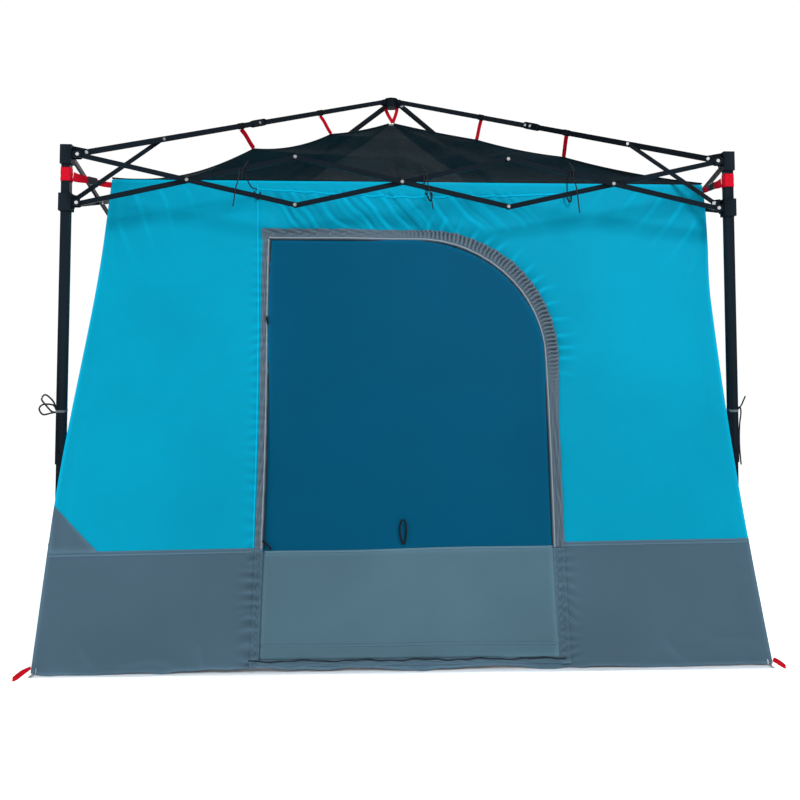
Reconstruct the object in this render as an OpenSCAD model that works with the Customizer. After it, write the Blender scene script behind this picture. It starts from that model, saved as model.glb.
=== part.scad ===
// Pop-up gazebo: a folding frame of scissor trusses and jointed rafters on four telescoping legs,
// with a cabin tent of cloth walls, a zipped door and a mesh roof hung inside it.
// Millimetres, +Z up. The origin is on the ground at the middle of the four legs, and the door faces -Y.

/* [Frame] */
// Distance between leg centres, the same both ways
leg_spacing = 2500; // [2480:5:2520]
// Height of the truss pins on the top brackets
bracket_pin_z = 1790; // [1780:1:1800]
// Height of the truss pins on the sliders, frame open
slider_pin_z = 1608; // [1600:1:1616]
// Height of the rafter pins on the hub
hub_pin_z = 2385; // [2375:1:2400]
// Length of the lower half of a rafter, pin to elbow
lower_rafter_l = 909; // [900:1:915]
// Distance up the lower rafter from its bracket pin to its strut pin
strut_reach = 362; // [358:1:366]

/* [Tubes] */
// Width of the square outer leg tube
outer_leg_w = 32; // [31:0.5:32]
// Width of the square inner leg tube
inner_leg_w = 26; // [24:0.5:26]
// Height of a truss bar's section
bar_h = 18; // [16:1:18]
// Thickness of a truss bar's section
bar_t = 10; // [9:0.5:10]
// Height of a rafter's section
rafter_h = 22; // [20:1:22]
// Thickness of a rafter's section
rafter_t = 14; // [12:1:14]
// Wall of every tube
tube_wall = 1.2; // [1:0.1:1.5]

/* [Legs] */
// Height of the outer leg's lower end
outer_leg_end_z = 645; // [635:5:655]
// Height of the inner leg's top, legs extended
inner_leg_top_z = 1110; // [1100:5:1120]
// Width of the square foot plate
foot_w = 76; // [74:1:80]
// Height of the snap button that sets the leg's length
button_z = 690; // [685:1:695]

/* [Tent] */
// Height of the eave, where the walls meet the mesh roof
eave_z = 1735; // [1730:1:1736]
// Half width of the tent at the eave
eave_half_w = 1175; // [1170:1:1178]
// Half depth of the tent at the eave
eave_half_d = 1090; // [1085:1:1092]
// Half width of the tent at the ground
foot_half_w = 1200; // [1196:1:1202]
// Half depth of the tent at the ground
foot_half_d = 1670; // [1660:5:1680]
// Height of the mesh roof's peak
peak_z = 2285; // [2270:5:2290]
// Thickness that stands for a layer of cloth
cloth_t = 2; // [1.6:0.1:2.4]

/* [Door] */
// Left edge of the doorway
door_left_x = -505; // [-515:1:-495]
// Right edge of the doorway
door_right_x = 525; // [515:1:535]
// Bottom of the doorway, measured up the sloping wall
door_sill = 45; // [40:1:50]
// Top of the doorway, measured up the sloping wall
door_head = 1575; // [1565:1:1585]
// Radius of the doorway's round corner
door_corner_r = 470; // [450:5:480]

/* [Hidden] */
$fn = 48;

// corner name, place as signs of x and y, and the side of the lower rafter that its upper rafter lies on
CORNERS = [
    ["front_left", [-1, -1], 1],
    ["front_right", [1, -1], -1],
    ["rear_left", [-1, 1], 1],
    ["rear_right", [1, 1], 1],
];
// truss name, the corner that it starts from, and its heading
TRUSSES = [
    ["front", [-1, -1], 0],
    ["left", [-1, -1], 90],
    ["rear", [-1, 1], 0],
    ["right", [1, -1], 90],
];
BAYS = [1, 2, 3];

leg_x = leg_spacing / 2;
gap = 0.3;              // running gap beside a moving part
rivet_r = 3;
bore_r = rivet_r + gap;
head_r = 6.5;
head_t = 2;

// trusses
pin_out = 42;           // a truss pin's distance from its leg's axis
bay_l = (leg_spacing - 2 * pin_out) / len(BAYS);
bay_h = bracket_pin_z - slider_pin_z;
bar_l = norm([bay_l, bay_h]);
bar_angle = atan2(bay_h, bay_l);
bar_plane = bar_t / 2 + 1;              // a bar's middle, off the truss plane
pair_half = bar_plane + bar_t / 2;      // half the thickness of two crossed bars
cheek_in = pair_half + 1.5;             // inner face of a lug's cheeks
cheek_t = 4;

// rafters, measured along the diagonal from the leg's axis towards the hub
rafter_pin_in = 70;
strut_pin_in = 45;
rafter_pin_z = bracket_pin_z + 22;
strut_pin_z = slider_pin_z + 24;
hub_pin_r = 50;
rafter_run = leg_x * sqrt(2) - rafter_pin_in - hub_pin_r;
rafter_rise = hub_pin_z - rafter_pin_z;
rafter_angle = atan2(rafter_rise, rafter_run);
upper_rafter_l = norm([rafter_run, rafter_rise]) - lower_rafter_l;
rafter_step = rafter_t + 1.5;           // from the lower rafter's plane to the upper's
strut_t = 10;
strut_h = 16;
strut_step = rafter_t / 2 + 1.5 + strut_t / 2;     // towards the truss whose inner bar doesn't swing past it
strut_run = rafter_pin_in + strut_reach * cos(rafter_angle) - strut_pin_in;
strut_rise = rafter_pin_z + strut_reach * sin(rafter_angle) - strut_pin_z;
strut_l = norm([strut_run, strut_rise]);
strut_angle = atan2(strut_rise, strut_run);

// brackets, sliders and feet
bracket_w = 42;
bracket_z = [bracket_pin_z - 36, bracket_pin_z + 36];
slider_w = 46;
slider_z = [slider_pin_z - 30, slider_pin_z + 36];
lug_half_h = 13;
foot_t = 6;
stake_hole_out = 29;    // each way from the leg's axis, clear of the slider above it
button_r = 5;

// tent
front_slope = atan2(foot_half_d - eave_half_d, eave_z);
side_slope = atan2(foot_half_w - eave_half_w, eave_z);
front_l = eave_z / cos(front_slope);
side_l = eave_z / cos(side_slope);
seam = 6;               // clear space between one cloth solid and the next
ground_t = 3;

module bore(x, r = bore_r, l = 60) {
    translate([x, 0, 0]) rotate([90, 0, 0]) cylinder(r = r, h = l, center = true);
}

// A round-ended plate in the XZ plane, its middle on y = 0
module plate(x0, x1, h, t) {
    rotate([90, 0, 0]) linear_extrude(height = t, center = true) {
        translate([x0, -h / 2]) square([x1 - x0, h]);
        translate([x0, 0]) circle(d = h);
        translate([x1, 0]) circle(d = h);
    }
}

// A shaft with a head at each end, along Y, its middle at x
module rivet(x, half_span, y = 0) {
    translate([x, y, 0]) rotate([90, 0, 0]) {
        cylinder(r = rivet_r, h = 2 * half_span + head_t, center = true);
        for (side = [-1, 1])
            translate([0, 0, side * (half_span + head_t / 2)]) cylinder(r = head_r, h = head_t, center = true);
    }
}

// Half a rivet: a head on the face and a shank that stops inside the bar
module rivet_half(x, face, side) {
    shank = 4;
    translate([x, side * face, 0]) rotate([-90 * side, 0, 0]) {
        cylinder(r = head_r, h = head_t);
        translate([0, 0, -shank]) cylinder(r = rivet_r, h = shank);
    }
}

// A square tube between two solid round ends, pinned at x = 0 and x = l, with bores at each x in holes
module bar(l, h, t, holes) {
    end_l = 14;
    difference() {
        union() {
            plate(0, end_l, h, t);
            plate(l - end_l, l, h, t);
        }
        translate([end_l, -t, -h]) cube([l - 2 * end_l, 2 * t, 2 * h]);
        for (x = holes) bore(x);
    }
    difference() {
        translate([end_l + 0.1, -t / 2, -h / 2]) cube([l - 2 * end_l - 0.2, t, h]);
        translate([end_l, tube_wall - t / 2, tube_wall - h / 2])
            cube([l - 2 * end_l, t - 2 * tube_wall, h - 2 * tube_wall]);
        for (x = holes) bore(x);
    }
}

// The axes of a truss: X along it, from the axis of the leg that it starts from
module in_truss(t) {
    translate([t[1][0] * leg_x, t[1][1] * leg_x, 0]) rotate([0, 0, t[2]]) children();
}

// The axes of a corner: X along the diagonal, from the leg's axis to the hub
module in_corner(c) {
    translate([c[1][0] * leg_x, c[1][1] * leg_x, 0]) rotate([0, 0, atan2(-c[1][1], -c[1][0])]) children();
}

// Moves to a leg and faces along each of its two trusses in turn
module along_trusses(c) {
    for (heading = [c[1][0] < 0 ? 0 : 180, c[1][1] < 0 ? 90 : 270])
        translate([c[1][0] * leg_x, c[1][1] * leg_x, 0]) rotate([0, 0, heading]) children();
}

// Two cheeks from a block's face to round a pin
module lug(from, pin_x, z, inner) {
    for (side = [-1, 1])
        translate([0, side * (inner + cheek_t / 2), z]) difference() {
            plate(from, pin_x, 2 * lug_half_h, cheek_t);
            bore(pin_x, rivet_r + 0.15, 2 * cheek_t);
            translate([from - 40, -cheek_t, -lug_half_h]) cube([40, 2 * cheek_t, 2 * lug_half_h]);
        }
}

module outer_leg(c) {
    x = c[1][0] * leg_x;
    y = c[1][1] * leg_x;
    color("#16202a") {
        translate([x, y, 0]) difference() {
            translate([-outer_leg_w / 2, -outer_leg_w / 2, outer_leg_end_z])
                cube([outer_leg_w, outer_leg_w, bracket_z[1] - 8 - outer_leg_end_z]);
            translate([-outer_leg_w / 2 + tube_wall, -outer_leg_w / 2 + tube_wall, outer_leg_end_z - 1])
                cube([outer_leg_w - 2 * tube_wall, outer_leg_w - 2 * tube_wall, bracket_z[1]]);
            translate([0, c[1][1] * outer_leg_w / 2, button_z])
                rotate([90, 0, 0]) cylinder(r = button_r + gap, h = 10, center = true);
        }
        difference() {
            union() {
                translate([x - bracket_w / 2, y - bracket_w / 2, bracket_z[0]])
                    cube([bracket_w, bracket_w, bracket_z[1] - bracket_z[0]]);
                along_trusses(c) lug(bracket_w / 2 - 1, pin_out, bracket_pin_z, cheek_in);
                in_corner(c) lug(bracket_w / 2 - 1, rafter_pin_in, rafter_pin_z, rafter_t / 2 + 0.6);
            }
            translate([x - outer_leg_w / 2 - 0.1, y - outer_leg_w / 2 - 0.1, bracket_z[0] - 1])
                cube([outer_leg_w + 0.2, outer_leg_w + 0.2, bracket_z[1] - 7 - bracket_z[0]]);
        }
    }
    color("silver") {
        along_trusses(c) translate([0, 0, bracket_pin_z]) rivet(pin_out, cheek_in + cheek_t + 0.1);
        in_corner(c) translate([0, 0, rafter_pin_z]) rivet(rafter_pin_in, rafter_t / 2 + 0.6 + cheek_t + 0.1);
    }
}

module inner_leg(c) {
    translate([c[1][0] * leg_x, c[1][1] * leg_x, 0]) color("#16202a") {
        difference() {
            translate([-inner_leg_w / 2, -inner_leg_w / 2, foot_t])
                cube([inner_leg_w, inner_leg_w, inner_leg_top_z - foot_t]);
            translate([-inner_leg_w / 2 + tube_wall, -inner_leg_w / 2 + tube_wall, foot_t])
                cube([inner_leg_w - 2 * tube_wall, inner_leg_w - 2 * tube_wall, inner_leg_top_z]);
        }
        difference() {
            translate([-foot_w / 2, -foot_w / 2, 0]) cube([foot_w, foot_w, foot_t - 0.1]);
            translate([c[1][0] * stake_hole_out, c[1][1] * stake_hole_out, -1]) cylinder(r = 5, h = foot_t + 2);
        }
    }
}

module leg_button(c) {
    reach = 3.4;
    color("dimgray")
        translate([c[1][0] * leg_x, c[1][1] * (inner_leg_w / 2 + reach), button_z])
            rotate([-90 * c[1][1], 0, 0]) {
                cylinder(r = button_r, h = outer_leg_w / 2 - inner_leg_w / 2 - reach + 2);
                translate([0, 0, outer_leg_w / 2 - inner_leg_w / 2 - reach + 2]) cylinder(r1 = button_r, r2 = 3, h = 1.5);
            }
}

module slider(c) {
    x = c[1][0] * leg_x;
    y = c[1][1] * leg_x;
    strut_y = strut_step;
    color("#16202a")
        difference() {
            union() {
                translate([x - slider_w / 2, y - slider_w / 2, slider_z[0]])
                    cube([slider_w, slider_w, slider_z[1] - slider_z[0]]);
                along_trusses(c) lug(slider_w / 2 - 1, pin_out, slider_pin_z, cheek_in);
                in_corner(c) translate([0, strut_y, 0])
                    lug(slider_w / 2 - 1, strut_pin_in, strut_pin_z, strut_t / 2 + 0.6);
            }
            translate([x - outer_leg_w / 2 - 0.4, y - outer_leg_w / 2 - 0.4, slider_z[0] - 1])
                cube([outer_leg_w + 0.8, outer_leg_w + 0.8, slider_z[1] - slider_z[0] + 2]);
        }
    color("silver") {
        along_trusses(c) translate([0, 0, slider_pin_z]) rivet(pin_out, cheek_in + cheek_t + 0.1);
        in_corner(c) translate([0, strut_y, strut_pin_z]) rivet(strut_pin_in, strut_t / 2 + 0.6 + cheek_t + 0.1);
    }
}

// The bar that falls away from its first pin, with the rivets that join it to the rising bars
module falling_bar(t, k) {
    in_truss(t) translate([pin_out + (k - 1) * bay_l, -bar_plane, bracket_pin_z]) rotate([0, bar_angle, 0]) {
        color("#16202a") bar(bar_l, bar_h, bar_t, [0, bar_l / 2, bar_l]);
        color("silver")
            for (x = [if (k > 1) 0, bar_l / 2, if (k < len(BAYS)) bar_l]) rivet(x, pair_half + gap, bar_plane);
    }
}

module rising_bar(t, k) {
    in_truss(t) translate([pin_out + (k - 1) * bay_l, bar_plane, slider_pin_z]) rotate([0, -bar_angle, 0])
        color("#16202a") bar(bar_l, bar_h, bar_t, [0, bar_l / 2, bar_l]);
}

module lower_rafter(c) {
    hinged = c[0] == "front_left";
    sleeve_l = 60;
    in_corner(c) translate([rafter_pin_in, 0, rafter_pin_z]) rotate([0, -rafter_angle, 0]) {
        color("#16202a") {
            bar(lower_rafter_l, rafter_h, rafter_t, hinged ? [0, lower_rafter_l] : [0]);
            // the moulded elbow, round the tube's upper end
            difference() {
                translate([0, -c[2] * 1.3, 0])
                    plate(lower_rafter_l - sleeve_l, lower_rafter_l, rafter_h + 8, rafter_t + 3.2);
                plate(lower_rafter_l - 2 * sleeve_l, lower_rafter_l, rafter_h + 0.2, rafter_t + 0.2);
                if (hinged) bore(lower_rafter_l);
            }
        }
        color("silver") {
            rivet_half(strut_reach, rafter_t / 2 + 0.1, -1);
            rivet_half(lower_rafter_l - 28, rafter_t / 2 + 3.2, -c[2]);
            if (hinged)
                rivet(lower_rafter_l, rafter_t + 1, c[2] * rafter_step / 2);
            else
                rivet_half(lower_rafter_l, rafter_t / 2 + 3.2, -c[2]);
        }
    }
}

module upper_rafter(c) {
    hinged = c[0] == "front_left";
    in_corner(c)
        translate([rafter_pin_in, c[2] * rafter_step, rafter_pin_z]) rotate([0, -rafter_angle, 0])
            translate([lower_rafter_l, 0, 0]) {
                color("#16202a") bar(upper_rafter_l, rafter_h, rafter_t, hinged ? [0, upper_rafter_l] : [upper_rafter_l]);
                if (!hinged) color("silver") rivet_half(0, rafter_t / 2 + 0.1, c[2]);
            }
}

module rafter_strut(c) {
    in_corner(c) translate([strut_pin_in, strut_step, strut_pin_z]) rotate([0, -strut_angle, 0]) {
        color("#16202a") bar(strut_l, strut_h, strut_t, [0]);
        color("silver") rivet_half(strut_l, strut_t / 2 + 0.1, 1);
    }
}

module hub() {
    body_r = 34;
    body_h = 46;
    color("#16202a") {
        translate([0, 0, hub_pin_z - body_h / 2]) cylinder(r = body_r, h = body_h);
        translate([0, 0, hub_pin_z + body_h / 2 - 5]) intersection() {
            translate([0, 0, -40]) sphere(r = 52);
            cylinder(r = body_r - 2, h = 40);
        }
        for (c = CORNERS)
            rotate([0, 0, atan2(c[1][1], c[1][0])]) translate([0, -c[2] * rafter_step, 0])
                lug(body_r - 14, hub_pin_r, hub_pin_z, rafter_t / 2 + 0.6);
    }
    color("silver")
        for (c = CORNERS)
            rotate([0, 0, atan2(c[1][1], c[1][0])]) translate([0, -c[2] * rafter_step, hub_pin_z])
                rivet(hub_pin_r, rafter_t / 2 + 0.6 + cheek_t + 0.1);
}

// A wall's axes: X along the wall, Y up its slope from the ground, Z out of the tent
module in_wall(heading, half, slope) {
    rotate([0, 0, heading]) translate([0, -half, 0]) rotate([90 - slope, 0, 0]) children();
}

module wall_sheet(foot, eave, l) {
    lift = 2;
    translate([0, 0, -cloth_t / 2]) linear_extrude(height = cloth_t)
        polygon([[-foot, lift], [foot, lift], [eave, l], [-eave, l]]);
}

module door_outline(inset) {
    l = door_left_x + inset;
    r = door_right_x - inset;
    top = door_head - inset;
    cr = door_corner_r - inset;
    translate([l, door_sill + inset]) square([r - l - cr, top - door_sill - inset]);
    translate([l, door_sill + inset]) square([r - l, top - cr - door_sill - inset]);
    translate([r - cr, top - cr]) circle(r = cr, $fn = 96);
}

module front_wall() {
    color("#02a0cb") in_wall(0, foot_half_d, front_slope) difference() {
        wall_sheet(foot_half_w, eave_half_w, front_l);
        translate([0, 0, -cloth_t]) linear_extrude(height = 2 * cloth_t) door_outline(0);
    }
}

module door_flap() {
    color("#00557a") in_wall(0, foot_half_d, front_slope)
        translate([0, 0, -cloth_t / 2]) linear_extrude(height = cloth_t) door_outline(5);
}

module rear_wall() {
    color("#02a0cb") in_wall(180, foot_half_d, front_slope) wall_sheet(foot_half_w, eave_half_w, front_l);
}

module left_wall() {
    color("#0896be") in_wall(270, foot_half_w, side_slope)
        wall_sheet(foot_half_d - seam, eave_half_d - seam, side_l);
}

module right_wall() {
    color("#0896be") in_wall(90, foot_half_w, side_slope)
        wall_sheet(foot_half_d - seam, eave_half_d - seam, side_l);
}

// Four flat panels that meet at the hips, just clear of each other
module mesh_roof() {
    color("#1c3038")
        for (heading = [0, 90, 180, 270]) {
            across = heading % 180 == 0 ? eave_half_w : eave_half_d;
            out = heading % 180 == 0 ? eave_half_d : eave_half_w;
            rise = peak_z - eave_z - seam;
            slope = atan2(rise, out);
            rotate([0, 0, heading]) translate([0, -out, eave_z + seam]) rotate([slope, 0, 0])
                linear_extrude(height = cloth_t)
                    polygon([[seam - across, 0], [across - seam, 0], [0, norm([rise, out]) - 2 * seam]]);
        }
}

module groundsheet() {
    color("lightgray")
        translate([seam - foot_half_w, seam - foot_half_d, 0])
            cube([2 * (foot_half_w - seam), 2 * (foot_half_d - seam), ground_t - 1]);
}

for (c = CORNERS) {
    outer_leg(c);
    inner_leg(c);
    leg_button(c);
    slider(c);
    lower_rafter(c);
    upper_rafter(c);
    rafter_strut(c);
}
for (t = TRUSSES) for (k = BAYS) {
    falling_bar(t, k);
    rising_bar(t, k);
}
hub();
front_wall();
left_wall();
right_wall();
rear_wall();
door_flap();
mesh_roof();
groundsheet();
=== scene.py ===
"""The looks of the pop-up gazebo: a folding frame with a cabin tent hung inside it.

Metres, +Z up, in the CAD frame: the ground is z = 0, the legs stand round the origin and the door faces -Y.
On a wall, `a` runs along it, `v` up its slope from the ground, and `d` out of the tent.
"""

import math

import bpy
import numpy as np
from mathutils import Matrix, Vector


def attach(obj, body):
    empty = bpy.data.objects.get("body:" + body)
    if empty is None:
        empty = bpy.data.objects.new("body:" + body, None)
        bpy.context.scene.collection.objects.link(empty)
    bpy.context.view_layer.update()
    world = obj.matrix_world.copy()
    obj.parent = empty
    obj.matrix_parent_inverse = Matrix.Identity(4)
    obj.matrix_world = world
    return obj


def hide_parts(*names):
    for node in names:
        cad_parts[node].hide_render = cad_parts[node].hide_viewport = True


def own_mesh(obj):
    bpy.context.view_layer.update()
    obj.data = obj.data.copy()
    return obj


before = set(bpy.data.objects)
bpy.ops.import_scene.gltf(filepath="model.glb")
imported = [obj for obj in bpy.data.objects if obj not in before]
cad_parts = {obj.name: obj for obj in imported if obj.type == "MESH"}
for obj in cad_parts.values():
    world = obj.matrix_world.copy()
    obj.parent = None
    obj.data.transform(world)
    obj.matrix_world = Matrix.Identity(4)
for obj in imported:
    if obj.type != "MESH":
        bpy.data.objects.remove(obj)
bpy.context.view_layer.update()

# ---- sizes

LEG = 1.25              # a leg's distance from the middle, each way
FOOT_W, FOOT_D = 1.200, 1.670       # half width and depth of the tent at the ground
EAVE_W, EAVE_D = 1.175, 1.090       # the same at the eave
EAVE_Z, PEAK_Z = 1.735, 2.283
SKIRT_TOP = 0.400       # the skirt's top seam, up the wall
SKIRT_LEAN = 0.014      # how much higher it lies per metre to the right
SKIRT_FOOT = 0.018
DOOR_LEFT, DOOR_RIGHT, DOOR_SILL, DOOR_HEAD = -0.505, 0.525, 0.045, 1.575
DOOR_RADIUS = 0.470     # of the door's one round corner
ARC_A, ARC_V = DOOR_RIGHT - DOOR_RADIUS, DOOR_HEAD - DOOR_RADIUS        # that corner's middle
BAND_TOP, BAND_LEFT, BAND_RIGHT = 0.046, 0.028, 0.040
DOORWAY_GAP = 0.012     # from the door's outline to the wall's cut edge
SKIRT_LAP = 0.012       # of the skirt over the wall
CLOTH = 0.0012          # thickness
EAVE_SEAM = 1.788       # up the front wall
PLEAT_STEP = 0.0025     # between points along the door's arch
BAND_STEP = 0.006       # and along its other bands
UP = np.array([0, 0, 1.0])
ELBOW_T = 0.505         # the rafter's elbow, as a share of the way from the peak to a corner
LEFT, RIGHT, REAR, FRONT = "left", "right", "rear", "front"

# name: heading, half distance at the ground, half length at the ground, slope's run, half length at the eave
WALLS = {
    FRONT: (0, FOOT_D, FOOT_W, FOOT_D - EAVE_D, EAVE_W),
    RIGHT: (90, FOOT_W, FOOT_D, FOOT_W - EAVE_W, EAVE_D),
    REAR: (180, FOOT_D, FOOT_W, FOOT_D - EAVE_D, EAVE_W),
    LEFT: (270, FOOT_W, FOOT_D, FOOT_W - EAVE_W, EAVE_D),
}
WALL_BODY = {FRONT: "outer_leg_front_left", LEFT: "outer_leg_front_left",
             RIGHT: "outer_leg_front_right", REAR: "outer_leg_rear_left"}
WALL_L = {n: math.hypot(w[3], EAVE_Z) for n, w in WALLS.items()}
CORNERS = {"front_left": (-1, -1), "front_right": (1, -1), "rear_left": (-1, 1), "rear_right": (1, 1)}


# ---- small tools

def smooth(a, b, x):
    t = np.clip((np.asarray(x, float) - a) / (b - a), 0, 1)
    return t * t * (3 - 2 * t)


def bell(middle, width, x):
    return np.exp(-(((np.asarray(x, float) - middle) / width) ** 2))


def noise(x, y, size, seed):
    """Smooth noise from -1 to 1 whose features are about that size."""
    table = np.random.RandomState(seed).uniform(-1, 1, (64, 64))
    u, w = np.asarray(x, float) / size + 640, np.asarray(y, float) / size + 640
    i, j = np.floor(u).astype(int), np.floor(w).astype(int)
    fu, fw = u - i, w - j
    fu, fw = fu * fu * (3 - 2 * fu), fw * fw * (3 - 2 * fw)
    at = lambda p, q: table[p % 64, q % 64]
    low = at(i, j) * (1 - fu) + at(i + 1, j) * fu
    high = at(i, j + 1) * (1 - fu) + at(i + 1, j + 1) * fu
    return low * (1 - fw) + high * fw


def ridge(phase):
    """A wave with sharp crests and wide, flat troughs, from -1 to 1."""
    return 1 - 2 * np.abs(np.sin(phase / 2)) ** 0.7


def tent_pull(p):
    """How the corner straps and the zips pull the hung tent along X, away from its sewn shape."""
    x, z = p[..., 0], p[..., 2]
    up = np.minimum(z, EAVE_Z)
    at_left, at_right = smooth(-0.62, -1.12, x), smooth(0.62, 1.12, x)
    pull_left = 0.050 * smooth(0.45, 1.50, up)
    pull_right = 0.034 * smooth(1.25, 1.72, up) - 0.017 * np.sin(np.pi * np.clip(up / 1.45, 0, 1))
    fade = 1 - 0.8 * smooth(EAVE_Z, PEAK_Z, z)
    zip_left = 0.020 * smooth(1.50, 0.55, up) * smooth(-1.12, -0.60, x) * smooth(-0.02, -0.42, x)
    zip_right = 0.026 * smooth(1.15, 0.05, up) * smooth(1.12, 0.60, x) * smooth(0.02, 0.42, x)
    out = p.copy()
    out[..., 0] = x + (pull_left * at_left + pull_right * at_right) * fade + zip_left - zip_right
    return out


def on_wall(name, a, v, d=0.0):
    """Points in the row frame of places on a wall."""
    heading, half, _, run, _ = WALLS[name]
    a, v, d = np.broadcast_arrays(np.asarray(a, float), np.asarray(v, float), np.asarray(d, float))
    s = math.atan2(run, EAVE_Z)
    x, y, z = a, -half + v * math.sin(s) - d * math.cos(s), v * math.cos(s) + d * math.sin(s)
    h = math.radians(heading)
    p = np.stack([x * math.cos(h) - y * math.sin(h), x * math.sin(h) + y * math.cos(h), z], -1)
    return tent_pull(p)


def edge_of(name, v):
    """A wall's half length at a height up its slope."""
    _, _, foot, _, eave = WALLS[name]
    return foot + (eave - foot) * np.asarray(v, float) / WALL_L[name]


def add(name, data):
    """A new object, in the scene."""
    thing = bpy.data.objects.new(name, data)
    bpy.context.scene.collection.objects.link(thing)
    return thing


def make(name, verts, faces, material, body, thick=0.0):
    mesh = bpy.data.meshes.new(name)
    mesh.from_pydata(np.asarray(verts, float).tolist(), [], [list(map(int, f)) for f in faces])
    mesh.validate()
    mesh.shade_smooth()
    piece = add(name, mesh)
    for m in material if isinstance(material, (list, tuple)) else [material]:
        mesh.materials.append(m)
    if thick:
        s = piece.modifiers.new("cloth", "SOLIDIFY")
        s.thickness, s.offset = thick, 0.0
    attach(piece, body)
    return piece


def grid(name, points, material, body, keep=None, thick=CLOTH):
    """A sheet from a grid of points, rows by columns by 3, with only the faces that keep allows."""
    rows, cols = points.shape[:2]
    index = np.arange(rows * cols).reshape(rows, cols)
    quads = np.stack([index[:-1, :-1], index[:-1, 1:], index[1:, 1:], index[1:, :-1]], -1)
    quads = quads[keep] if keep is not None else quads.reshape(-1, 4)
    used, new = np.unique(quads, return_inverse=True)
    return make(name, points.reshape(-1, 3)[used], new.reshape(-1, 4), material, body, thick)


def distances(line):
    """How far along a line each of its points is."""
    return np.concatenate([[0], np.cumsum(np.linalg.norm(np.diff(line, axis=0), axis=1))])


def spline(points, count):
    """A smooth line through the points, at even steps."""
    p = np.asarray(points, float)
    p = np.vstack([2 * p[0] - p[1], p, 2 * p[-1] - p[-2]])
    out = []
    for i in range(1, len(p) - 2):
        t = np.linspace(0, 1, 24, endpoint=False)[:, None]
        a, b, c, d = p[i - 1:i + 3]
        out.append(0.5 * (2 * b + (c - a) * t + (2 * a - 5 * b + 4 * c - d) * t ** 2
                          + (3 * b - a - 3 * c + d) * t ** 3))
    line = np.vstack(out + [p[-2:-1]])
    along = distances(line)
    even = np.linspace(0, along[-1], count)
    return np.stack([np.interp(even, along, line[:, k]) for k in range(3)], -1)


def frames(path, up):
    """Two directions across a path at each of its points, the first nearest to up."""
    tangent = np.gradient(path, axis=0)
    tangent /= np.linalg.norm(tangent, axis=1)[:, None]
    u = np.broadcast_to(np.asarray(up, float), path.shape).copy()
    u -= (u * tangent).sum(1)[:, None] * tangent
    u /= np.maximum(np.linalg.norm(u, axis=1), 1e-6)[:, None]
    return u, np.cross(tangent, u)


def tube(name, path, radius, material, body, sides=10, up=(0.3, 0.2, 1)):
    u, w = frames(path, up)
    turn = np.linspace(0, 2 * math.pi, sides, endpoint=False)
    ring = u[:, None] * np.cos(turn)[None, :, None] + w[:, None] * np.sin(turn)[None, :, None]
    verts = (path[:, None] + ring * radius).reshape(-1, 3)
    faces = []
    for i in range(len(path) - 1):
        for k in range(sides):
            n = (k + 1) % sides
            faces.append([i * sides + k, i * sides + n, (i + 1) * sides + n, (i + 1) * sides + k])
    faces += [list(range(sides))[::-1], [(len(path) - 1) * sides + k for k in range(sides)]]
    return make(name, verts, faces, material, body)


def webbing(name, path, width, across, material, body, thick=0.0016):
    """A flat strap whose width lies along `across`."""
    side, _ = frames(path, across)
    steps = np.linspace(-0.5, 0.5, 7)
    points = path[:, None] + side[:, None] * (steps[None] * width)[:, :, None]
    return grid(name, points, material, body, thick=thick)


def squared_ring(count, power):
    """A closed ring between a circle and a square: the lower the power, the squarer."""
    turn = np.linspace(0, 2 * math.pi, count)
    c, s = np.cos(turn), np.sin(turn)
    return np.stack([np.sign(c) * np.abs(c) ** power, np.sign(s) * np.abs(s) ** power], -1)


def rounded_box(name, middle, size, axes, material, body, radius=0.003):
    """A moulded block with rounded edges, turned to lie along three axes."""
    half = np.asarray(size, float) / 2
    corners = np.array([[x, y, z] for x in (-1, 1) for y in (-1, 1) for z in (-1, 1)], float) * half
    verts = np.asarray(middle, float) + corners @ np.asarray(axes, float)
    faces = [[0, 1, 3, 2], [4, 6, 7, 5], [0, 4, 5, 1], [2, 3, 7, 6], [0, 2, 6, 4], [1, 5, 7, 3]]
    piece = make(name, verts, faces, material, body)
    b = piece.modifiers.new("round", "BEVEL")
    b.width, b.segments = radius, 3
    return piece


# ---- materials

def material(name):
    m = bpy.data.materials.new(name)
    m.use_nodes = True
    return m, m.node_tree, m.node_tree.nodes["Principled BSDF"]


def put(t, node, values):
    """Sets a node's inputs by name or number, each to a number, a colour or another node's output."""
    for socket, value in values.items():
        if isinstance(value, (int, float, tuple)):
            node.inputs[socket].default_value = value
        else:
            t.links.new(value, node.inputs[socket])


def place(t):
    return t.nodes.new("ShaderNodeTexCoord").outputs["Object"]


def split(t):
    """The X, Y and Z of a place on the object."""
    xyz = t.nodes.new("ShaderNodeSeparateXYZ")
    put(t, xyz, {0: place(t)})
    return xyz.outputs


def noise_node(t, scale, detail):
    texture = t.nodes.new("ShaderNodeTexNoise")
    put(t, texture, {"Scale": scale, "Detail": detail, "Vector": place(t)})
    return texture.outputs["Fac"]


def ramp(t, value, stops):
    r = t.nodes.new("ShaderNodeValToRGB")
    while len(r.color_ramp.elements) < len(stops):
        r.color_ramp.elements.new(0.5)
    for e, (at, colour) in zip(r.color_ramp.elements, stops):
        e.position, e.color = at, (*colour, 1)
    put(t, r, {"Fac": value})
    return r.outputs["Color"]


def shade(colour, k):
    return tuple(c * k for c in colour)


def mottled(t, colour, scale, detail, dark, pale, top=0.7):
    """A colour that drifts between a darker and a paler shade of itself."""
    return ramp(t, noise_node(t, scale, detail), [(0.3, shade(colour, dark)), (top, shade(colour, pale))])


def calc(t, op, a, b=None, c=None):
    m = t.nodes.new("ShaderNodeMath")
    m.operation = op
    put(t, m, {i: value for i, value in enumerate((a, b, c)) if value is not None})
    return m.outputs[0]


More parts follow.
